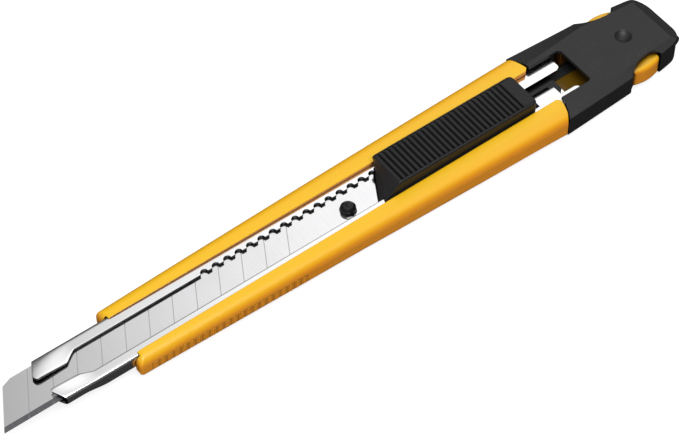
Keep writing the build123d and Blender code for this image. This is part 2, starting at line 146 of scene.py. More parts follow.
class KnifeStudioSettings(bpy.types.PropertyGroup):
    azimuth: bpy.props.FloatProperty(
        name="Azimuth", description="Camera's turn about Z", default=math.radians(-36.98), subtype="ANGLE"
    )
    elevation: bpy.props.FloatProperty(
        name="Elevation", description="Camera's height angle", default=math.radians(51.75), subtype="ANGLE"
    )
    roll: bpy.props.FloatProperty(
        name="Roll", description="Camera's turn about its own view line", default=0.0, subtype="ANGLE"
    )
    distance: length("Distance", "Camera's distance from its aim point", 439.3)
    lens: bpy.props.FloatProperty(name="Lens", description="Focal length in millimetres", default=129.04)
    aim: bpy.props.FloatVectorProperty(
        name="Aim",
        description="Point that the camera looks at, from the middle of the knife's foot",
        default=(-3.859 * MM, -1.365 * MM, 5.257 * MM),
        subtype="TRANSLATION",
    )
    floor_size: length("Floor Size", "Side of the square floor", 3000)


# ---------------------------------------------------------------------------------------------
# Surfaces
# ---------------------------------------------------------------------------------------------


def corner_cut(distance, radius):
    """How far a rounded corner falls back from its sharp one, at a distance from its edge:
    radius - sqrt(radius^2 - (radius - distance)^2), and nothing past the radius."""
    inside = np.clip(radius - distance, 0, radius)
    return radius - np.sqrt(radius**2 - inside**2)


def smooth_step(value):
    """3 t^2 - 2 t^3, with t held between 0 and 1."""
    t = np.clip(value, 0, 1)
    return t * t * (3 - 2 * t)


def ring_faces(rings, around):
    """Four-cornered faces between each ring of points and the next one."""
    ring = np.arange(rings - 1)[:, None] * around
    spot = np.arange(around)[None, :]
    after = (spot + 1) % around
    corners = np.stack([ring + spot, ring + after, ring + around + after, ring + around + spot], -1)
    return corners.reshape(-1, 4).tolist()


def finish_of(slot):
    """The finish that the CAD nodes of a material slot wear."""
    node = next(part["node"] for part in frame["record"]["subparts"] if part["material_slot"] == slot)
    return NODES[node].material_slots[0].material


def make_piece(name, points, faces, body, slot, sharp=50):
    """Puts points and faces into a mesh whose faces point outwards, and rides it on a body."""
    mesh = bpy.data.meshes.new(name)
    mesh.from_pydata(points.reshape(-1, 3).tolist(), [], faces)
    work = bmesh.new()
    work.from_mesh(mesh)
    bmesh.ops.recalc_face_normals(work, faces=work.faces)
    work.to_mesh(mesh)
    work.free()
    mesh.shade_smooth()
    mesh.set_sharp_from_angle(angle=math.radians(sharp))
    piece = bpy.data.objects.new(name, mesh)
    bpy.context.scene.collection.objects.link(piece)
    mesh.materials.append(finish_of(slot))
    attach(piece, body)
    return piece


def slot_edges(x, size, mouth, tail):
    """Half widths of the slot on the spine side and on the edge side at each station x: straight
    stretches joined by slopes, less a half circle sqrt(r^2 - d^2) at each ratchet notch."""
    jaw_end = mouth + size.jaw_run
    narrow = jaw_end + size.jaw_slope
    stop_from, stop_to = tail - size.stop_from, tail - size.stop_to
    step = 0.04 * MM
    corner = corner_cut(x - mouth, size.jaw_corner)
    upper = np.interp(
        x,
        [mouth, jaw_end, narrow, stop_from, stop_from + step],
        [size.upper_jaw, size.upper_jaw, size.upper_edge, size.upper_edge, size.strip_edge],
    )
    lower = np.interp(
        x,
        [mouth, jaw_end, narrow, stop_from, stop_from + step, stop_to, stop_to + step],
        [size.lower_jaw, size.lower_jaw] + [size.lower_edge] * 2 + [size.stop_edge] * 2 + [size.lower_edge],
    )
    first = mouth + size.first_notch
    nearest = np.clip(np.round((x - first) / size.notch_pitch), 0, size.notches - 1)
    off = x - first - nearest * size.notch_pitch
    notch = np.sqrt(np.maximum(size.notch_radius**2 - off**2, 0))
    return upper + corner + notch, lower + corner


def channel_stations(size, mouth, tail):
    """Stations along the channel: closer together at its mouth, in each notch and at each step."""
    front = mouth + size.jaw_corner * np.linspace(0, 1, 7) ** 2
    jaws = np.arange(mouth + 1 * MM, mouth + size.ramp_to + 1 * MM, 0.35 * MM)
    plain = np.arange(mouth + size.ramp_to + 1.5 * MM, tail, 2 * MM)
    across = size.notch_radius * np.sin(np.linspace(-np.pi / 2, np.pi / 2, 13))
    centres = mouth + size.first_notch + np.arange(size.notches) * size.notch_pitch
    notches = (centres[:, None] + across[None, :]).ravel()
    steps = np.array([tail - size.stop_from, tail - size.stop_to])[:, None] + np.array([0, 0.04]) * MM
    strips = np.linspace(tail - 2.2 * MM, tail, 12)
    plain = plain[(plain < centres[0] - 1.5 * MM) | (plain > centres[-1] + 1.5 * MM)]
    return np.unique(np.concatenate([front, jaws, plain, notches, steps.ravel(), strips]).round(8))


def folded_sheet(upper, lower, half, top, floor, radius):
    """The sheet's middle line at each station, as (y, z) with its outward (ny, nz): along the
    flange, a quarter circle y = c + r sin a, z = c + r cos a over the bend, down the wall, round the
    lower bend, across the floor, and the same way up to the other flange's edge."""
    wide = np.ones_like(upper)
    turn = np.linspace(0, np.pi / 2, 7)[:, None]
    run = np.linspace(0, 1, 7)[:-1, None]
    few = np.linspace(0, 1, 4)[1:-1, None]
    side = half - radius

    def half_of(edge):
        flange = edge + (side - edge) * run
        y = [flange, side + radius * np.sin(turn) * wide, half * np.ones_like(few) * wide]
        y += [side + radius * np.cos(turn) * wide]
        wall = top - radius + (floor + radius - (top - radius)) * few
        z = [top * np.ones_like(flange), (top - radius + radius * np.cos(turn)) * wide, wall]
        z += [floor + radius - radius * np.sin(turn)]
        ny = [0 * flange, np.sin(turn) * wide, np.ones_like(few) * wide, np.cos(turn) * wide]
        nz = [np.ones_like(flange), np.cos(turn) * wide, 0 * few * wide, -np.sin(turn) * wide]
        return [np.concatenate(part) for part in (y, z, ny, nz)]

    one, other = half_of(upper), half_of(lower)
    across = np.linspace(side, -side, 10)[1:-1, None] * wide
    bottom = [across, floor * np.ones_like(across), 0 * across, -np.ones_like(across)]
    signs = (-1, 1, -1, 1)
    return [np.concatenate([a, b, s * c[::-1]]) for a, b, c, s in zip(one, bottom, other, signs)]


def channel_surface(size):
    """The folded channel as closed rings: the middle line plus and minus half the sheet along its
    normal, with a rounded rim at both edges, thinner at the first and last rings."""
    low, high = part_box("blade_channel")
    mouth, tail, half = low.x, high.x, high.y
    x = channel_stations(size, mouth, tail)
    upper, lower = slot_edges(x, size, mouth, tail)
    sheet = size.sheet / 2
    drop = smooth_step((x - mouth - size.ramp_from) / (size.ramp_to - size.ramp_from))
    floor = high.z - size.shallow + (low.z - high.z + size.shallow) * drop + sheet
    y, z, ny, nz = folded_sheet(upper, lower, half - sheet, high.z - sheet, floor, size.bend - sheet)
    from_end = np.minimum(x - mouth, tail - x)
    thin = sheet * (0.75 + 0.25 * np.sqrt(np.clip(from_end / (0.16 * MM), 0, 1)))
    outer_y, outer_z, inner_y, inner_z = y + ny * thin, z + nz * thin, y - ny * thin, z - nz * thin
    bow = np.linspace(np.pi / 2, -np.pi / 2, 9)[1:-1, None]
    out = size.rim * np.abs(np.cos(bow)) ** 0.6
    up = np.sign(np.sin(bow)) * np.abs(np.sin(bow)) ** 0.6
    rim_low_y, rim_low_z = y[-1] + out, z[-1] + up * thin
    rim_up_y, rim_up_z = y[0] - out[::-1], z[0] + up[::-1] * thin
    ring_y = np.concatenate([outer_y, rim_low_y, inner_y[::-1], rim_up_y])
    ring_z = np.concatenate([outer_z, rim_low_z, inner_z[::-1], rim_up_z])
    flange = ring_z > high.z - 2 * size.sheet
    inward = np.clip((half - np.abs(ring_y)) / (half - size.upper_jaw), 0, 1)
    lift = size.jaw_lift * (1 - smooth_step((x - mouth) / (size.jaw_run + size.jaw_slope)))
    ring_z = ring_z + np.where(flange, lift * inward * (2 - inward), 0)
    set_back = np.interp(np.abs(ring_y), [0.4 * half, half], [0, size.nose])
    set_back += np.interp(ring_y, [-0.4 * half, 0.4 * half], [0.3 * MM, -0.4 * MM])
    near_mouth = 1 - np.clip((x - mouth) / (size.ramp_to + 2 * MM), 0, 1)
    edge = np.where(ring_y > 0, upper, lower)
    strip = corner_cut(np.abs(ring_y) - edge, size.strip_round) + corner_cut(
        half - np.abs(ring_y), size.strip_round
    )
    short = np.where(ring_z < low.z + 1.1 * MM, size.floor_short, strip)
    near_tail = np.clip((x - tail + 2.2 * MM) / (2.2 * MM), 0, 1)
    ring_x = x + set_back * near_mouth - short * near_tail
    points = np.stack([ring_x, ring_y, ring_z], -1).transpose(1, 0, 2)
    around, count = points.shape[1], y.shape[0]
    spot = np.arange(count - 1)
    pair = around - len(bow) - 1 - spot
    first = np.stack([spot, spot + 1, pair - 1, pair], -1)
    rim = len(bow)
    ends = first.tolist() + [list(range(count - 1, count + rim + 1))]
    ends += [list(range(around - rim - 1, around)) + [0]]
    last = [[i + (len(x) - 1) * around for i in face] for face in ends]
    # Marks where the finish paints near-black: the notched flange's underside by its rim, painted shade only, and
    # its sheared rim and the front end ring, cut steel darkened as painted shade.
    cut_and_shade = np.zeros((len(x), around))
    cut_and_shade[:, around - rim - 7 : around - rim] = 1
    cut_and_shade[:, -rim:] = 1
    cut_and_shade[0] = 1
    return points, ring_faces(len(x), around) + ends + last, cut_and_shade


def grip_surface(size):
    """The ribbed skin of the thumb slider as closed rings across it: up one side, a quarter circle
    over the edge and across the top. Each groove lowers the top by depth * (0.5 + 0.5 cos)^3, and
    the rim along both sides stays plain."""
    low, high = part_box("thumb_slider")
    rear, front = high.x + size.proud, high.x - size.length
    last = high.x - size.last_groove
    first = last - (size.grooves - 1) * size.pitch
    steps = np.linspace(-0.5, 0.5, 15)[:-1]
    ribs = first + (np.arange(size.grooves)[:, None] + steps[None, :]).ravel() * size.pitch
    close = size.corner * np.linspace(0, 1, 10) ** 2
    x = np.unique(np.concatenate([ribs, front + size.edge * np.linspace(0, 1, 6) ** 2, rear - close]).round(8))
    x = x[x >= front]
    groove = size.rib_depth * (0.5 + 0.5 * np.cos(2 * np.pi * (x - first) / size.pitch)) ** 3
    groove = np.where((x > first - size.pitch / 2) & (x < last + size.pitch / 2), groove, 0)
    end_drop = corner_cut(x - front, size.edge) + corner_cut(rear - x, size.edge)
    bottom = high.z - size.thickness
    wide = high.y + size.proud - corner_cut(rear - x, size.corner)
    turn = np.linspace(0, np.pi / 2, 7)
    inset = np.concatenate([[0, 0, 0], size.edge * (1 - np.cos(turn[1:])), [size.edge * 1.2, size.rim]])
    drop = np.concatenate([[size.thickness, 0.6 * size.thickness, size.edge], size.edge * (1 - np.sin(turn[1:])), [0, 0]])
    ease = size.rim + 0.35 * MM * np.linspace(0, 1, 7)[1:]
    deep = np.concatenate([np.zeros(len(inset)), smooth_step(np.linspace(0, 1, 7)[1:])])
    inset = np.concatenate([inset, ease])
    drop = np.concatenate([drop, 0 * ease])
    y = wide - inset[:, None]
    z = np.maximum(high.z + size.proud - drop[:, None] - deep[:, None] * groove - end_drop, bottom)
    middle = np.linspace(1, -1, 5)[1:-1, None] * y[-1]
    y = np.concatenate([y, middle, -y[::-1]])
    z = np.concatenate([z, np.repeat(z[-1:], len(middle), 0), z[::-1]])
    points = np.stack([np.broadcast_to(x, y.shape), y, z], -1).transpose(1, 0, 2)
    count = points.shape[1]
    lids = [list(range(count)), [i + (len(x) - 1) * count for i in range(count)]]
    return points, ring_faces(len(x), count) + lids


def stud_surface(size):
    """The blade stud's cap as closed rings about an upright axis: radius times a dome profile
    (1 - h^4)^(1/2) (1 - 0.12 h), with flutes 1 + k cos(n a) that fade towards the top."""
    low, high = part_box("blade_carrier")
    stud_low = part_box("blade")[0]
    centre_x = low.x + 3.3 * MM
    centre_y = -0.95 * MM
    base = stud_low.z + 0.35 * MM
    top = high.z + size.stud_proud
    rise = np.concatenate([np.linspace(0, 0.8, 9), 1 - 0.2 * np.linspace(1, 0.02, 8)[1:] ** 2])
    profile = np.sqrt(np.clip(1 - rise**4, 0, 1)) * (1 - 0.12 * rise)
    angle = np.linspace(0, 2 * np.pi, 65)[:-1]
    flute = 1 + 0.035 * np.cos(size.stud_flutes * angle)[None, :] * (1 - smooth_step((rise - 0.3) / 0.7))[:, None]
    radius = size.stud_radius * profile[:, None] * flute
    x = centre_x + radius * np.cos(angle)
    y = centre_y + radius * np.sin(angle)
    z = np.broadcast_to((base + (top - base) * rise)[:, None], x.shape)
    points = np.stack([x, y, z], -1)
    count = len(angle)
    lids = [list(range(count)), [i + (len(rise) - 1) * count for i in range(count)]]
    return points, ring_faces(len(rise), count) + lids


# ---------------------------------------------------------------------------------------------
# Shader effects
# ---------------------------------------------------------------------------------------------


class Nodes:
    """Adds and joins the nodes of one node tree."""

    def __init__(self, tree):
        self.tree = tree

    def add(self, kind, inputs=None, **settings):
        """A node with its settings, and its inputs by name or place: a value, or a socket to join."""
        node = self.tree.nodes.new(kind)
        for key, value in settings.items():
            setattr(node, key, value)
        for key, value in (inputs or {}).items():
            if isinstance(value, bpy.types.NodeSocket):
                self.tree.links.new(value, node.inputs[key])
            else:
                node.inputs[key].default_value = value
        return node

    def math(self, operation, *values):
        """The result of a Math node."""
        return self.add("ShaderNodeMath", dict(enumerate(values)), operation=operation).outputs[0]

    def ramp(self, value, low, high, to_low=0.0, to_high=1.0):
        """A value moved smoothly from one range to another."""
        sockets = {"Value": value, "From Min": low, "From Max": high, "To Min": to_low, "To Max": to_high}
        return self.add("ShaderNodeMapRange", sockets, interpolation_type="SMOOTHSTEP").outputs[0]

    def noise(self, vector, scale, detail=3.0, rough=0.5):
        """A value of fractal noise, about 0.5."""
        sockets = {"Vector": vector, "Scale": scale, "Detail": detail, "Roughness": rough}
        return self.add("ShaderNodeTexNoise", sockets).outputs["Fac"]

    def stretch(self, vector, scale, turn=0.0):
        """Coordinates scaled by axis and turned about Z."""
        sockets = {"Vector": vector, "Scale": scale, "Rotation": (0, 0, turn)}
        return self.add("ShaderNodeMapping", sockets).outputs[0]

    def mix(self, factor, one, other, blend="MIX"):
        """A mix of two colours."""
        node = self.add("ShaderNodeMix", data_type="RGBA", blend_type=blend)
        for socket, value in ((node.inputs[0], factor), (node.inputs[6], one), (node.inputs[7], other)):
            if isinstance(value, bpy.types.NodeSocket):
                self.tree.links.new(value, socket)
            else:
                socket.default_value = value
        return node.outputs[2]


def effect(name, inputs, outputs):
    """A new node group with float inputs (name: default) and outputs (name: kind): its node adder, its inputs and
    its outputs.
    """
    group = bpy.data.node_groups.new(name, "ShaderNodeTree")
    for key, default in inputs.items():
        socket = group.interface.new_socket(key, in_out="INPUT", socket_type="NodeSocketFloat")
        socket.default_value = default
    for key, kind in outputs.items():
        group.interface.new_socket(key, in_out="OUTPUT", socket_type="NodeSocket" + kind)
    nodes = Nodes(group)
    given = nodes.add("NodeGroupInput").outputs
    put = nodes.add("NodeGroupOutput").inputs
    return nodes, given, put


def moulded_skin():
    """Fine spark-eroded grain of a moulded part, with slow changes of gloss and tone."""
    nodes, given, put = effect(
        "moulded_skin",
        {"Grain Scale": 5200.0, "Roughness": 0.45, "Spread": 0.08},
        {"Height": "Float", "Roughness": "Float", "Tone": "Float"},
    )
    place = nodes.add("ShaderNodeTexCoord").outputs["Object"]
    grain = nodes.noise(place, given["Grain Scale"], 2.0, 0.6)
    cloud = nodes.noise(place, 95.0, 4.0, 0.6)
    flow = nodes.noise(nodes.stretch(place, (40, 260, 260)), 1.0, 3.0)
    links = nodes.tree.links.new
    links(grain, put["Height"])
    drift = nodes.math("SUBTRACT", nodes.math("ADD", cloud, flow), 1.0)
    gloss = nodes.math("MULTIPLY", nodes.math("ADD", drift, nodes.math("SUBTRACT", grain, 0.5)), given["Spread"])
    links(nodes.math("ADD", given["Roughness"], gloss), put["Roughness"])
    links(nodes.ramp(drift, -0.35, 0.35), put["Tone"])
    return nodes.tree


def rolled_steel():
    """Fine parallel lines that rolling or grinding leaves along the sheet, and smudges."""
    nodes, given, put = effect(
        "rolled_steel",
        {"Along": 30.0, "Across": 5200.0, "Roughness": 0.2, "Spread": 0.1},
        {"Height": "Float", "Roughness": "Float", "Tone": "Float"},
    )
    place = nodes.add("ShaderNodeTexCoord").outputs["Object"]
    scale = nodes.add("ShaderNodeCombineXYZ", {0: given["Along"], 1: given["Across"], 2: given["Across"]})
    lines = nodes.add("ShaderNodeMapping", {"Vector": place, "Scale": scale.outputs[0]}).outputs[0]
    fine = nodes.noise(lines, 1.0, 3.0, 0.65)
    smudge = nodes.noise(place, 130.0, 4.0, 0.6)
    links = nodes.tree.links.new
    links(fine, put["Height"])
    uneven = nodes.math("ADD", nodes.math("SUBTRACT", fine, 0.5), nodes.math("SUBTRACT", smudge, 0.45))
    links(nodes.math("ADD", given["Roughness"], nodes.math("MULTIPLY", uneven, given["Spread"])), put["Roughness"])
    links(nodes.ramp(nodes.math("ADD", fine, smudge), 0.75, 1.3), put["Tone"])
    return nodes.tree


def fine_scratches():
    """Sparse hair scratches in two slanting directions."""
    nodes, given, put = effect("fine_scratches", {"Amount": 0.5}, {"Mask": "Float"})
    place = nodes.add("ShaderNodeTexCoord").outputs["Object"]
    lines = []
    for turn in (0.35, -0.6):
        turned = nodes.stretch(place, (1, 1, 1), turn)
        thin = nodes.noise(nodes.stretch(turned, (60, 3800, 60)), 1.0, 1.0)
        where = nodes.noise(turned, 260.0, 1.0)
        lines.append(nodes.math("MULTIPLY", nodes.ramp(thin, 0.72, 0.78), nodes.ramp(where, 0.5, 0.62)))
    both = nodes.math("MAXIMUM", *lines)
    nodes.tree.links.new(nodes.math("MULTIPLY", both, given["Amount"]), put["Mask"])
    return nodes.tree


def rounded_edge():
    """A normal that rounds sharp edges, and a mask of the rubbed edges where it bends most."""
    nodes, given, put = effect(
        "rounded_edge", {"Radius": 0.00015, "Wear": 1.0}, {"Normal": "Vector", "Mask": "Float"}
    )
    soft = nodes.add("ShaderNodeBevel", {"Radius": given["Radius"]}, samples=6).outputs[0]
    true = nodes.add("ShaderNodeNewGeometry").outputs["True Normal"]
    dot = nodes.add("ShaderNodeVectorMath", {0: soft, 1: true}, operation="DOT_PRODUCT").outputs["Value"]
    place = nodes.add("ShaderNodeTexCoord").outputs["Object"]
    patchy = nodes.ramp(nodes.noise(place, 700.0, 4.0, 0.65), 0.35, 0.65)
    links = nodes.tree.links.new
    links(soft, put["Normal"])
    edge = nodes.ramp(dot, 0.985, 0.86)
    links(nodes.math("MULTIPLY", nodes.math("MULTIPLY", edge, patchy), given["Wear"]), put["Mask"])
    return nodes.tree


def crevice_painted_shade():
    """A mask of painted shade in narrow gaps and deep corners: how little open sky ambient occlusion finds within
    its reach.
    """
    nodes, given, put = effect("crevice_painted_shade", {"Reach": 0.0008, "Power": 1.0}, {"Mask": "Float"})
    open_sky = nodes.add("ShaderNodeAmbientOcclusion", {"Distance": given["Reach"]}, samples=12).outputs["AO"]
    closed = nodes.math("POWER", nodes.math("SUBTRACT", 1.0, open_sky), given["Power"])
    nodes.tree.links.new(closed, put["Mask"])
    return nodes.tree


def settled_dust():
    """Pale dust that lies in patches on faces that look up."""
    nodes, given, put = effect("settled_dust", {"Amount": 0.3}, {"Mask": "Float"})
    coords = nodes.add("ShaderNodeTexCoord").outputs
    up = nodes.add("ShaderNodeSeparateXYZ", {0: coords["Normal"]}).outputs["Z"]
    specks = nodes.ramp(nodes.noise(coords["Object"], 4200.0, 2.0, 0.7), 0.62, 0.72)
    patch = nodes.ramp(nodes.noise(coords["Object"], 150.0, 3.0), 0.42, 0.68)
    lying = nodes.math("MULTIPLY", nodes.ramp(up, 0.5, 0.95), nodes.math("MULTIPLY", specks, patch))
    nodes.tree.links.new(nodes.math("MULTIPLY", lying, given["Amount"]), put["Mask"])
    return nodes.tree


# ---------------------------------------------------------------------------------------------
# Finishes
# ---------------------------------------------------------------------------------------------


def shade(rgb, factor=1.0):
    """A colour with its alpha, made lighter or darker."""
    return tuple(min(1.0, c * factor) for c in rgb) + (1.0,)


def group(nodes, name, **inputs):
    """The outputs of a placed effect, with its own values."""
    sockets = {key.replace("_", " "): value for key, value in inputs.items()}
    node = nodes.add("ShaderNodeGroup", node_tree=bpy.data.node_groups[name])
    for key, value in sockets.items():
        node.inputs[key].default_value = value
    return node.outputs


def new_finish(name, **plain):
    """A material with one Principled shader, and the plain values of its own sockets."""
    material = bpy.data.materials.new(name)
    material.use_nodes = True
    shader = material.node_tree.nodes["Principled BSDF"]
    for key, value in plain.items():
        shader.inputs[key.replace("_", " ")].default_value = value
    return material, Nodes(material.node_tree), shader


def join(nodes, shader, **sockets):
    """Joins outputs to the shader's inputs."""
    for key, value in sockets.items():
        nodes.tree.links.new(value, shader.inputs[key.replace("_", " ")])


def painted_shade_inside(nodes, coords):
    """A mask of painted shade inside the knife, over the trough's floor and the latch's arms: within 6.2 mm of the
    middle and from 46.6 mm to 58 mm along.
    """
    place = nodes.add("ShaderNodeSeparateXYZ", {0: coords["Object"]}).outputs
    narrow = nodes.ramp(nodes.math("ABSOLUTE", place["Y"]), 6.6 * MM, 6.2 * MM)
    forward = nodes.ramp(place["X"], 60 * MM, 58 * MM)
    behind = nodes.ramp(place["X"], 46 * MM, 46.6 * MM)
    return nodes.math("MULTIPLY", nodes.math("MULTIPLY", narrow, behind), forward)


def painted_rib_shade(nodes, coords):
    """A mask of painted shade between the ribs low on both sides of the handle's front."""
    place = nodes.add("ShaderNodeSeparateXYZ", {0: coords["Object"]}).outputs
    phase = nodes.math("DIVIDE", nodes.math("ADD", place["X"], 47.9 * MM), 1.5 * MM)
    off = nodes.math("ABSOLUTE", nodes.math("SUBTRACT", phase, nodes.math("ROUND", phase)))
    between = nodes.ramp(off, 0.24, 0.46)
    row = nodes.math("MULTIPLY", nodes.ramp(phase, -0.6, -0.4), nodes.ramp(phase, 21.6, 21.4))
    high = nodes.ramp(place["Z"], 4.55 * MM, 4.2 * MM)
    outer = nodes.ramp(nodes.math("ABSOLUTE", place["Y"]), 6.0 * MM, 6.4 * MM)
    return nodes.math("MULTIPLY", nodes.math("MULTIPLY", between, row), nodes.math("MULTIPLY", high, outer))


def plastic(name, top, side, rough, grain, grain_height, gloss=0.5, edge=0.12, wear=0.5, dust=0.2, reach=0.8):
    """A moulded plastic: a lit tone on faces that look up and lie near the middle, a painted-shade tone on low and
    outer faces, grain, rubbed edges, scratches and dust, and painted shade in crevices; on yellow also painted
    shade between the handle's ribs and inside the trough.
    """
    material, nodes, shader = new_finish(name, Specular_IOR_Level=gloss)
    skin = group(nodes, "moulded_skin", Grain_Scale=grain, Roughness=rough)
    soft = group(nodes, "rounded_edge", Radius=edge * MM, Wear=wear)
    scratch = group(nodes, "fine_scratches", Amount=0.5)["Mask"]
    specks = group(nodes, "settled_dust", Amount=dust)["Mask"]
    coords = nodes.add("ShaderNodeTexCoord").outputs
    up = nodes.add("ShaderNodeSeparateXYZ", {0: coords["Normal"]}).outputs["Z"]
    out = nodes.math("ABSOLUTE", nodes.add("ShaderNodeSeparateXYZ", {0: coords["Object"]}).outputs["Y"])
    # Painted light and shade: the lit tone where a face looks up and lies near the middle, the painted-shade tone
    # where it looks down or lies far out.
    painted_light_by_facing = nodes.math("SUBTRACT", nodes.ramp(up, 0.1, 1.0), nodes.ramp(out, 5.2 * MM, 9.4 * MM, 0.0, 0.38))
    base = nodes.mix(painted_light_by_facing, shade(side), shade(top))
    base = nodes.mix(nodes.math("MULTIPLY", skin["Tone"], 0.12), base, shade(top, 0.82))
    rubbed = nodes.math("MAXIMUM", soft["Mask"], nodes.math("MULTIPLY", scratch, 0.35))
    base = nodes.mix(nodes.math("MULTIPLY", rubbed, 0.3), base, shade([0.5 * c + 0.06 for c in top]))
    base = nodes.mix(specks, base, shade((0.6, 0.58, 0.55)))
    # Painted shade in gaps and corners, from ambient occlusion.
    crevice_shade = group(nodes, "crevice_painted_shade", Reach=reach * MM, Power=0.8)["Mask"]
    base = nodes.mix(nodes.ramp(crevice_shade, 0.08, 0.7), base, shade([0.08 * c for c in side]))
    if top[0] > 0.5:
        # Painted shade between the handle's ribs.
        base = nodes.mix(nodes.math("MULTIPLY", painted_rib_shade(nodes, coords), 0.55), base, shade(side, 0.3))
        # Near-black painted shade over the trough's floor and the latch's arms.
        base = nodes.mix(nodes.math("MULTIPLY", painted_shade_inside(nodes, coords), 0.9), base, shade(side, 0.04))
    roughness = nodes.math("SUBTRACT", skin["Roughness"], nodes.math("MULTIPLY", soft["Mask"], 0.12))
    height = nodes.math("SUBTRACT", skin["Height"], nodes.math("MULTIPLY", scratch, 0.8))
    bump = nodes.add(
        "ShaderNodeBump",
        {"Height": height, "Normal": soft["Normal"], "Distance": grain_height * MM, "Strength": 1.0},
    )
    join(nodes, shader, Base_Color=base, Roughness=roughness, Normal=bump.outputs[0])
    return material


def steel(name, base_colour, rough, along, across, depth, scratches=0.6):
    """A bright rolled or brushed steel with fine lines, smudges and hair scratches."""
    material, nodes, shader = new_finish(name, Metallic=1.0)
    lines = group(nodes, "rolled_steel", Along=along, Across=across, Roughness=rough)
    scratch = group(nodes, "fine_scratches", Amount=scratches)["Mask"]
    base = nodes.mix(nodes.math("MULTIPLY", lines["Tone"], 0.35), shade(base_colour), shade(base_colour, 0.9))
    roughness = nodes.math("ADD", lines["Roughness"], nodes.math("MULTIPLY", scratch, 0.2))
    height = nodes.math("SUBTRACT", lines["Height"], nodes.math("MULTIPLY", scratch, 0.6))
    bump = nodes.add("ShaderNodeBump", {"Height": height, "Distance": depth * MM, "Strength": 1.0})
    join(nodes, shader, Base_Color=base, Roughness=roughness, Normal=bump.outputs[0])
    return material, nodes, shader, base, roughness


def channel_finish(colours):
    """Rolled steel painted near-black where marked: the notched flange's sheared rim and the front end ring, cut
    steel darkened as painted shade, and that flange's underside by its rim, painted shade only.
    """
    material, nodes, shader, base, rough = steel("channel_steel", colours.steel, 0.15, 18, 3600, 0.0008, 0.4)
    coords = nodes.add("ShaderNodeTexCoord").outputs
    cut_and_shade = nodes.add("ShaderNodeAttribute", attribute_name="sheared_and_shade").outputs["Fac"]
    torn = nodes.ramp(nodes.noise(nodes.stretch(coords["Object"], (3200, 500, 500)), 1.0, 3.0), 0.3, 0.7)
    # Near-black painted shade with torn patches.
    edge = nodes.mix(torn, shade(colours.steel_cut_and_shade, 0.7), shade(colours.steel_cut_and_shade, 1.3))
    base = nodes.mix(cut_and_shade, base, edge)
    join(nodes, shader, Base_Color=base, Roughness=nodes.math("ADD", rough, nodes.math("MULTIPLY", cut_and_shade, 0.25)))
    return material


def blade_finish(colours):
    """Polished blade steel with scored snap lines, rougher and darkened as painted shade in their grooves, and a
    ground bevel along its edge whose dark tone is a painted reflection.
    """
    material, nodes, shader, base, rough = steel("blade_steel", colours.blade, 0.1, 4200, 120, 0.00025, 0.25)
    low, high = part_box("blade")
    coords = nodes.add("ShaderNodeTexCoord").outputs
    place = nodes.add("ShaderNodeSeparateXYZ", {0: coords["Object"]}).outputs
    bevel = nodes.ramp(place["Y"], low.y + 1.03 * MM, low.y + 0.97 * MM)
    lean = math.tan(math.radians(30))
    across = nodes.math("SUBTRACT", place["X"], nodes.math("MULTIPLY", place["Y"], lean))
    start = low.x - low.y * lean
    segment = nodes.math("DIVIDE", nodes.math("SUBTRACT", across, start), 5 * MM)
    off = nodes.math("ABSOLUTE", nodes.math("SUBTRACT", segment, nodes.math("ROUND", segment)))
    line = nodes.ramp(off, 0.026, 0.012)
    scored = nodes.math("MULTIPLY", line, nodes.ramp(segment, 12.6, 12.4))
    scored = nodes.math("MULTIPLY", scored, nodes.ramp(segment, 0.4, 0.6))
    grind = nodes.noise(nodes.stretch(coords["Object"], (5200, 160, 160), 0.2), 1.0, 2.0)
    # The ground bevel: grind lines in a dark painted reflection.
    ground_and_reflection = nodes.mix(grind, shade(colours.blade_ground_and_reflection, 0.75), shade(colours.blade_ground_and_reflection, 1.3))
    base = nodes.mix(bevel, base, ground_and_reflection)
    # Painted shade in the scored snap lines.
    base = nodes.mix(nodes.math("MULTIPLY", scored, 0.5), base, shade(colours.blade, 0.35))
    rough = nodes.math("ADD", rough, nodes.math("MULTIPLY", nodes.math("MAXIMUM", bevel, scored), 0.15))
    join(nodes, shader, Base_Color=base, Roughness=rough)
    return material


def finishes(colours):
    """One finish for each material slot of the record."""
    # deep is the yellow's painted-shade tone.
    yellow, deep = colours.yellow, colours.yellow_painted_shade
    grip, carrier = colours.grip_black, colours.carrier_black
    return {
        "blade_steel": blade_finish(colours),
        "channel_steel": channel_finish(colours),
        "yellow_plastic": plastic("yellow_plastic", yellow, deep, 0.34, 5200, 0.0022, 0.5, 0.2, 0.4, 0.1),
        "black_plastic": plastic("black_plastic", colours.cap_black, colours.cap_black, 0.46, 4300, 0.007, 0.38, 0.18, 0.8),
        "pad_plastic": plastic("pad_plastic", grip, grip, 0.5, 4800, 0.004, 0.36, 0.12, 0.8),
        "carrier_plastic": plastic("carrier_plastic", carrier, carrier, 0.2, 5200, 0.001, 0.3),
        "spring_steel": steel("spring_steel", colours.clip, 0.26, 25, 3600, 0.001)[0],
        # The latch's crevices reach 3 mm, so painted shade reaches deep into the window.
        "latch_plastic": plastic("latch_plastic", yellow, deep, 0.3, 5600, 0.002, 0.5, 0.15, 0.6, 0.05, 3.0),
        "clip_steel": steel("clip_steel", colours.clip, 0.3, 30, 3200, 0.002)[0],
    }


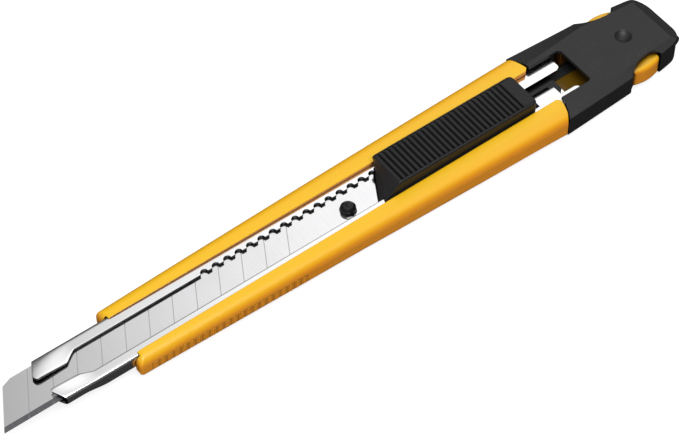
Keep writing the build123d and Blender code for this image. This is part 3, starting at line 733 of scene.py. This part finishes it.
def studio_world(scene):
    """A grey studio: dim near the horizon, bright overhead as z^5, with a broad soft box behind."""
    world = bpy.data.worlds.new("studio")
    scene.world = world
    world.use_nodes = True
    world.node_tree.nodes.clear()
    nodes = Nodes(world.node_tree)
    way = nodes.add("ShaderNodeTexCoord").outputs["Generated"]
    up = nodes.add("ShaderNodeSeparateXYZ", {0: way}).outputs["Z"]
    overhead = nodes.math("MULTIPLY", nodes.math("POWER", nodes.math("MAXIMUM", up, 0.0), 5.0), 1.1)
    box = Vector((0.64, 0.40, 0.66)).normalized()
    toward = nodes.add("ShaderNodeVectorMath", {0: way, 1: box}, operation="DOT_PRODUCT").outputs["Value"]
    soft_box = nodes.ramp(toward, 0.87, 0.975, 0.0, 1.12)
    left = nodes.add("ShaderNodeSeparateXYZ", {0: way}).outputs["X"]
    fill = nodes.math("MULTIPLY", nodes.math("MAXIMUM", nodes.math("MULTIPLY", left, -1.0), 0.0), 0.45)
    light = nodes.math("ADD", nodes.math("ADD", overhead, soft_box), nodes.math("ADD", fill, 0.12))
    sky = nodes.add("ShaderNodeBackground", {"Strength": light})
    out = nodes.add("ShaderNodeOutputWorld")
    world.node_tree.links.new(sky.outputs[0], out.inputs[0])


def floor_finish(colours):
    """A pale floor: white to the eye, with a faint shadow, and grey to the knife's surfaces."""
    material = bpy.data.materials.new("studio_floor")
    material.use_nodes = True
    material.node_tree.nodes.clear()
    nodes = Nodes(material.node_tree)
    place = nodes.add("ShaderNodeTexCoord").outputs["Object"]
    mottle = nodes.ramp(nodes.noise(place, 60.0), 0.3, 0.7)
    paint = nodes.mix(mottle, (0.33, 0.33, 0.33, 1), (0.36, 0.36, 0.36, 1))
    seen = nodes.add("ShaderNodeBsdfDiffuse", {"Color": paint}).outputs[0]
    glow = nodes.add("ShaderNodeEmission", {"Strength": 0.82}).outputs[0]
    bright = nodes.add("ShaderNodeAddShader", {0: seen, 1: glow}).outputs[0]
    grey = nodes.add("ShaderNodeBsdfDiffuse", {"Color": shade(colours.floor)}).outputs[0]
    dark = nodes.add("ShaderNodeBsdfDiffuse", {"Color": shade(colours.floor, 0.06)}).outputs[0]
    path = nodes.add("ShaderNodeLightPath").outputs
    mirrored = nodes.add("ShaderNodeMixShader", {0: path["Is Glossy Ray"], 1: grey, 2: dark}).outputs[0]
    mixed = nodes.add("ShaderNodeMixShader", {0: path["Is Camera Ray"], 1: mirrored, 2: bright}).outputs[0]
    nodes.add("ShaderNodeOutputMaterial", {"Surface": mixed})
    return material


# ---------------------------------------------------------------------------------------------
# Operators
# ---------------------------------------------------------------------------------------------


class KNIFE_OT_finishes(bpy.types.Operator):
    """Makes the shared effects and finishes, and puts them on the CAD nodes' slots"""

    bl_idname = "knife.finishes"
    bl_label = "Finishes"

    def execute(self, context):
        for build in (moulded_skin, rolled_steel, fine_scratches, rounded_edge, crevice_painted_shade, settled_dust):
            build()
        made = finishes(context.scene.knife_colours)
        for part in frame["record"]["subparts"]:
            for slot in NODES[part["node"]].material_slots:
                slot.material = made[part["material_slot"]]
        return {"FINISHED"}


class KNIFE_OT_channel(bpy.types.Operator):
    """Builds the folded steel channel with its notched flange"""

    bl_idname = "knife.channel"
    bl_label = "Steel Channel"

    def execute(self, context):
        points, faces, cut_and_shade = channel_surface(context.scene.knife_channel)
        piece = make_piece("channel_sheet", points, faces, "handle", "channel_steel", 40)
        # Marks of painted shade on cut steel and under the notched flange.
        sheared_and_shade = piece.data.attributes.new("sheared_and_shade", "FLOAT", "POINT")
        sheared_and_shade.data.foreach_set("value", cut_and_shade.astype(np.float32).ravel())
        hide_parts("blade_channel")
        return {"FINISHED"}


class KNIFE_OT_grip(bpy.types.Operator):
    """Builds the ribbed skin of the thumb slider and the cap of the blade's stud"""

    bl_idname = "knife.grip"
    bl_label = "Thumb Grip and Stud"

    def execute(self, context):
        size = context.scene.knife_grip
        for name, build, slot in (
            ("grip_ribs", grip_surface, "pad_plastic"),
            ("stud_cap", stud_surface, "carrier_plastic"),
        ):
            points, faces = build(size)
            make_piece(name, points, faces, "slider", slot)
        return {"FINISHED"}


class KNIFE_OT_stage(bpy.types.Operator):
    """Sets the floor, the studio light and the camera"""

    bl_idname = "knife.stage"
    bl_label = "Studio"

    def execute(self, context):
        scene, studio = context.scene, context.scene.knife_studio
        scene.view_settings.view_transform = "Standard"
        studio_world(scene)
        half = studio.floor_size / 2
        mesh = bpy.data.meshes.new("studio_floor")
        corners = [(-half, -half, 0), (half, -half, 0), (half, half, 0), (-half, half, 0)]
        mesh.from_pydata(corners, [], [(0, 1, 2, 3)])
        mesh.materials.append(floor_finish(scene.knife_colours))
        floor = bpy.data.objects.new("studio_floor", mesh)
        scene.collection.objects.link(floor)
        panel = bpy.data.lights.new("soft_panel", "AREA")
        panel.shape = "DISK"
        panel.size = 0.5
        panel.energy = 4.0
        lamp = bpy.data.objects.new("soft_panel", panel)
        lamp.location = (-0.10, -0.28, 0.68)
        lamp.rotation_euler = Vector(lamp.location).to_track_quat("Z", "Y").to_euler()
        scene.collection.objects.link(lamp)
        az, el = studio.azimuth, studio.elevation
        back = Vector((math.sin(az) * math.cos(el), -math.cos(az) * math.cos(el), math.sin(el)))
        camera = bpy.data.objects.new("camera", bpy.data.cameras.new("camera"))
        camera.data.sensor_width = 36
        camera.data.lens = studio.lens
        camera.data.clip_start = 10 * MM
        camera.location = Vector(studio.aim) + studio.distance * back
        turn = Euler((math.pi / 2 - el, 0, az)).to_matrix() @ Matrix.Rotation(studio.roll, 3, "Z")
        camera.rotation_euler = turn.to_euler()
        scene.collection.objects.link(camera)
        scene.camera = camera
        return {"FINISHED"}


class KNIFE_PT_panel(bpy.types.Panel):
    """Lists the knife's operators and settings"""

    bl_label = "Utility Knife"
    bl_idname = "KNIFE_PT_panel"
    bl_space_type = "VIEW_3D"
    bl_region_type = "UI"
    bl_category = "Knife"

    def draw(self, context):
        for operator in OPERATORS:
            self.layout.operator(operator.bl_idname)
        for group_name, settings in SETTINGS.items():
            box = self.layout.box()
            for key in settings.__annotations__:
                box.prop(getattr(context.scene, group_name), key)


SETTINGS = {
    "knife_channel": KnifeChannelSettings,
    "knife_grip": KnifeGripSettings,
    "knife_colours": KnifeColourSettings,
    "knife_studio": KnifeStudioSettings,
}
OPERATORS = (KNIFE_OT_finishes, KNIFE_OT_channel, KNIFE_OT_grip, KNIFE_OT_stage)
CLASSES = (*SETTINGS.values(), *OPERATORS, KNIFE_PT_panel)


def register():
    for kind in CLASSES:
        bpy.utils.register_class(kind)
    for name, settings in SETTINGS.items():
        setattr(bpy.types.Scene, name, bpy.props.PointerProperty(type=settings))


def unregister():
    for name in SETTINGS:
        delattr(bpy.types.Scene, name)
    for kind in reversed(CLASSES):
        bpy.utils.unregister_class(kind)


def main():
    register()
    bpy.ops.knife.finishes()
    bpy.ops.knife.channel()
    bpy.ops.knife.grip()
    bpy.ops.knife.stage()


if __name__ == "__main__":
    main()
